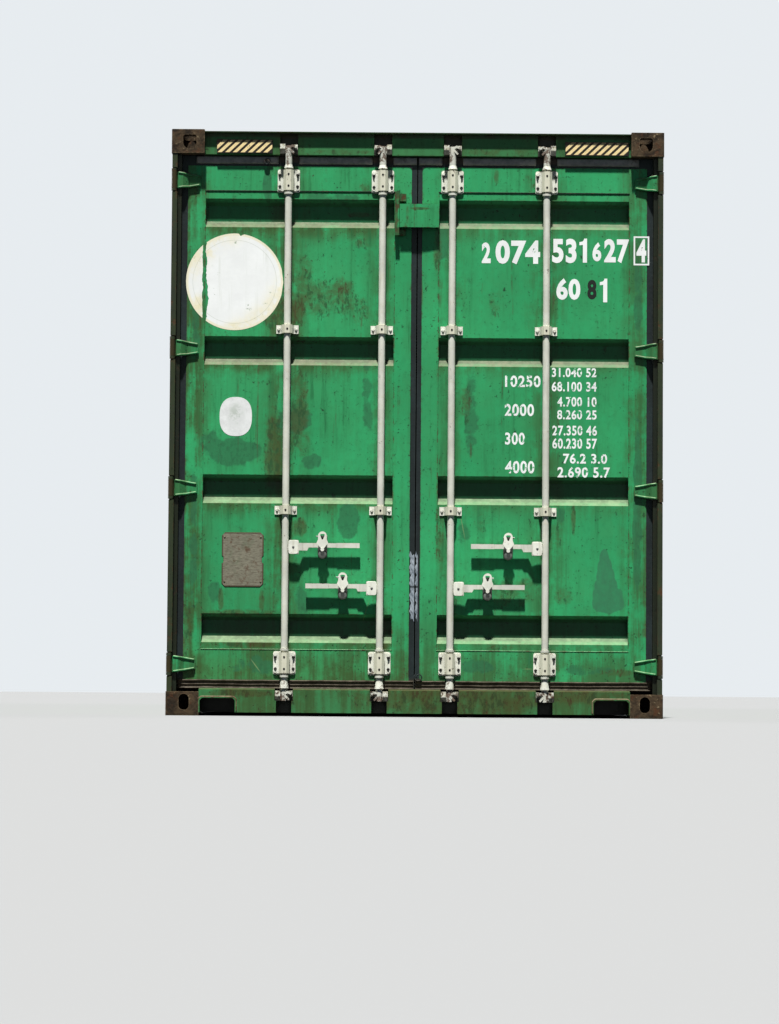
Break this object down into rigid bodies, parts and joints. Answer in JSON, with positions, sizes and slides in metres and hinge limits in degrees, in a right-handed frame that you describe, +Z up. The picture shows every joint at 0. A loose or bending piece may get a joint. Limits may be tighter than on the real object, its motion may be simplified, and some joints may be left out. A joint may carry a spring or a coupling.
{
  "type": "freight container",
  "caption": "Steel dry freight container, 40 ft high cube, with two hinged end doors, locking bars, lift-out handles and a gooseneck tunnel.",
  "frame": {"origin": "middle of the base, at the underside of the bottom corner castings", "axes": "+Z up, +Y along the container from the door end to the front end, +X to the right when facing the doors"},
  "size_m": [2.438, 12.192, 2.896],
  "materials": {
    "frame_paint": "weathered satin",
    "wall_paint": "weathered satin",
    "door_paint": "weathered satin",
    "post_paint": "rusty, worn",
    "casting_steel": "rusty",
    "gear_zinc": "grimy off-white",
    "gasket_rubber": "matt",
    "floor_ply": "worn",
    "vent_plastic": "matt"
  },
  "bodies": {
    "root": {"floor_boards": "floor_ply", "cross_members": "frame_paint", "tunnel_outriggers_left": "frame_paint", "tunnel_outriggers_right": "frame_paint", "gooseneck_tunnel": "frame_paint", "bottom_side_rail_left": "frame_paint", "bottom_side_rail_right": "frame_paint", "top_side_rail_left": "frame_paint", "top_side_rail_right": "frame_paint", "side_wall_left": "wall_paint", "side_wall_right": "wall_paint", "front_wall": "wall_paint", "roof_panel": "wall_paint", "front_post_left": "frame_paint", "front_post_right": "frame_paint", "front_top_rail": "frame_paint", "front_sill": "frame_paint", "rear_post_left": "post_paint", "rear_post_right": "post_paint", "door_header": "frame_paint", "door_sill": "frame_paint", "rear_castings_top": "casting_steel", "rear_castings_bottom": "casting_steel", "front_castings_top": "casting_steel", "front_castings_bottom": "casting_steel", "cam_keepers_top": "gear_zinc", "cam_keepers_bottom": "gear_zinc", "hinge_lugs_left": "post_paint", "hinge_lugs_right": "post_paint", "lashing_rings_left": "post_paint", "lashing_rings_right": "post_paint", "ventilators": "vent_plastic"},
    "left_door": {"left_door_frame": "door_paint", "left_door_panel": "door_paint", "left_door_gasket": "gasket_rubber", "left_hinge_blades": "door_paint", "left_bar_brackets": "gear_zinc", "left_handle_retainers": "gear_zinc", "overlap_plate": "door_paint"},
    "right_door": {"right_door_frame": "door_paint", "right_door_panel": "door_paint", "right_door_gasket": "gasket_rubber", "right_hinge_blades": "door_paint", "right_bar_brackets": "gear_zinc", "right_handle_retainers": "gear_zinc", "lock_box": "door_paint"},
    "left_outer_bar": {"left_outer_bar": "gear_zinc"},
    "left_inner_bar": {"left_inner_bar": "gear_zinc"},
    "right_inner_bar": {"right_inner_bar": "gear_zinc"},
    "right_outer_bar": {"right_outer_bar": "gear_zinc"},
    "left_outer_handle": {"left_outer_handle": "gear_zinc"},
    "left_inner_handle": {"left_inner_handle": "gear_zinc"},
    "right_inner_handle": {"right_inner_handle": "gear_zinc"},
    "right_outer_handle": {"right_outer_handle": "gear_zinc"},
    "left_outer_catch": {"left_outer_catch": "gear_zinc"},
    "left_inner_catch": {"left_inner_catch": "gear_zinc"},
    "right_inner_catch": {"right_inner_catch": "gear_zinc"},
    "right_outer_catch": {"right_outer_catch": "gear_zinc"}
  },
  "joints": [
    {"name": "left_door_hinge", "type": "hinge", "parent": "root", "child": "left_door", "pos_m": [-1.206, -6.083, 1.45], "axis": [0, 0, -1], "range_deg": [0, 267]},
    {"name": "right_door_hinge", "type": "hinge", "parent": "root", "child": "right_door", "pos_m": [1.206, -6.083, 1.45], "axis": [0, 0, 1], "range_deg": [0, 267]},
    {"name": "left_outer_bar_turn", "type": "hinge", "parent": "left_door", "child": "left_outer_bar", "pos_m": [-0.64, -6.061, 1.45], "axis": [0, 0, 1], "range_deg": [-90, 0]},
    {"name": "left_inner_bar_turn", "type": "hinge", "parent": "left_door", "child": "left_inner_bar", "pos_m": [-0.173, -6.061, 1.45], "axis": [0, 0, -1], "range_deg": [-90, 0]},
    {"name": "right_inner_bar_turn", "type": "hinge", "parent": "right_door", "child": "right_inner_bar", "pos_m": [0.173, -6.061, 1.45], "axis": [0, 0, 1], "range_deg": [-90, 0]},
    {"name": "right_outer_bar_turn", "type": "hinge", "parent": "right_door", "child": "right_outer_bar", "pos_m": [0.64, -6.061, 1.45], "axis": [0, 0, -1], "range_deg": [-90, 0]},
    {"name": "left_outer_handle_lift", "type": "hinge", "parent": "left_outer_bar", "child": "left_outer_handle", "pos_m": [-0.6, -6.0755, 0.83], "axis": [0, 1, 0], "range_deg": [-8, 0]},
    {"name": "left_inner_handle_lift", "type": "hinge", "parent": "left_inner_bar", "child": "left_inner_handle", "pos_m": [-0.213, -6.0755, 0.63], "axis": [0, -1, 0], "range_deg": [-8, 0]},
    {"name": "right_inner_handle_lift", "type": "hinge", "parent": "right_inner_bar", "child": "right_inner_handle", "pos_m": [0.213, -6.0755, 0.63], "axis": [0, 1, 0], "range_deg": [-8, 0]},
    {"name": "right_outer_handle_lift", "type": "hinge", "parent": "right_outer_bar", "child": "right_outer_handle", "pos_m": [0.6, -6.0755, 0.83], "axis": [0, -1, 0], "range_deg": [-8, 0]},
    {"name": "left_outer_catch_turn", "type": "hinge", "parent": "left_door", "child": "left_outer_catch", "pos_m": [-0.457, -6.074, 0.883], "axis": [1, 0, 0], "range_deg": [-90, 0]},
    {"name": "left_inner_catch_turn", "type": "hinge", "parent": "left_door", "child": "left_inner_catch", "pos_m": [-0.356, -6.074, 0.683], "axis": [1, 0, 0], "range_deg": [-90, 0]},
    {"name": "right_inner_catch_turn", "type": "hinge", "parent": "right_door", "child": "right_inner_catch", "pos_m": [0.356, -6.074, 0.683], "axis": [1, 0, 0], "range_deg": [-90, 0]},
    {"name": "right_outer_catch_turn", "type": "hinge", "parent": "right_door", "child": "right_outer_catch", "pos_m": [0.457, -6.074, 0.883], "axis": [1, 0, 0], "range_deg": [-90, 0]}
  ]
}
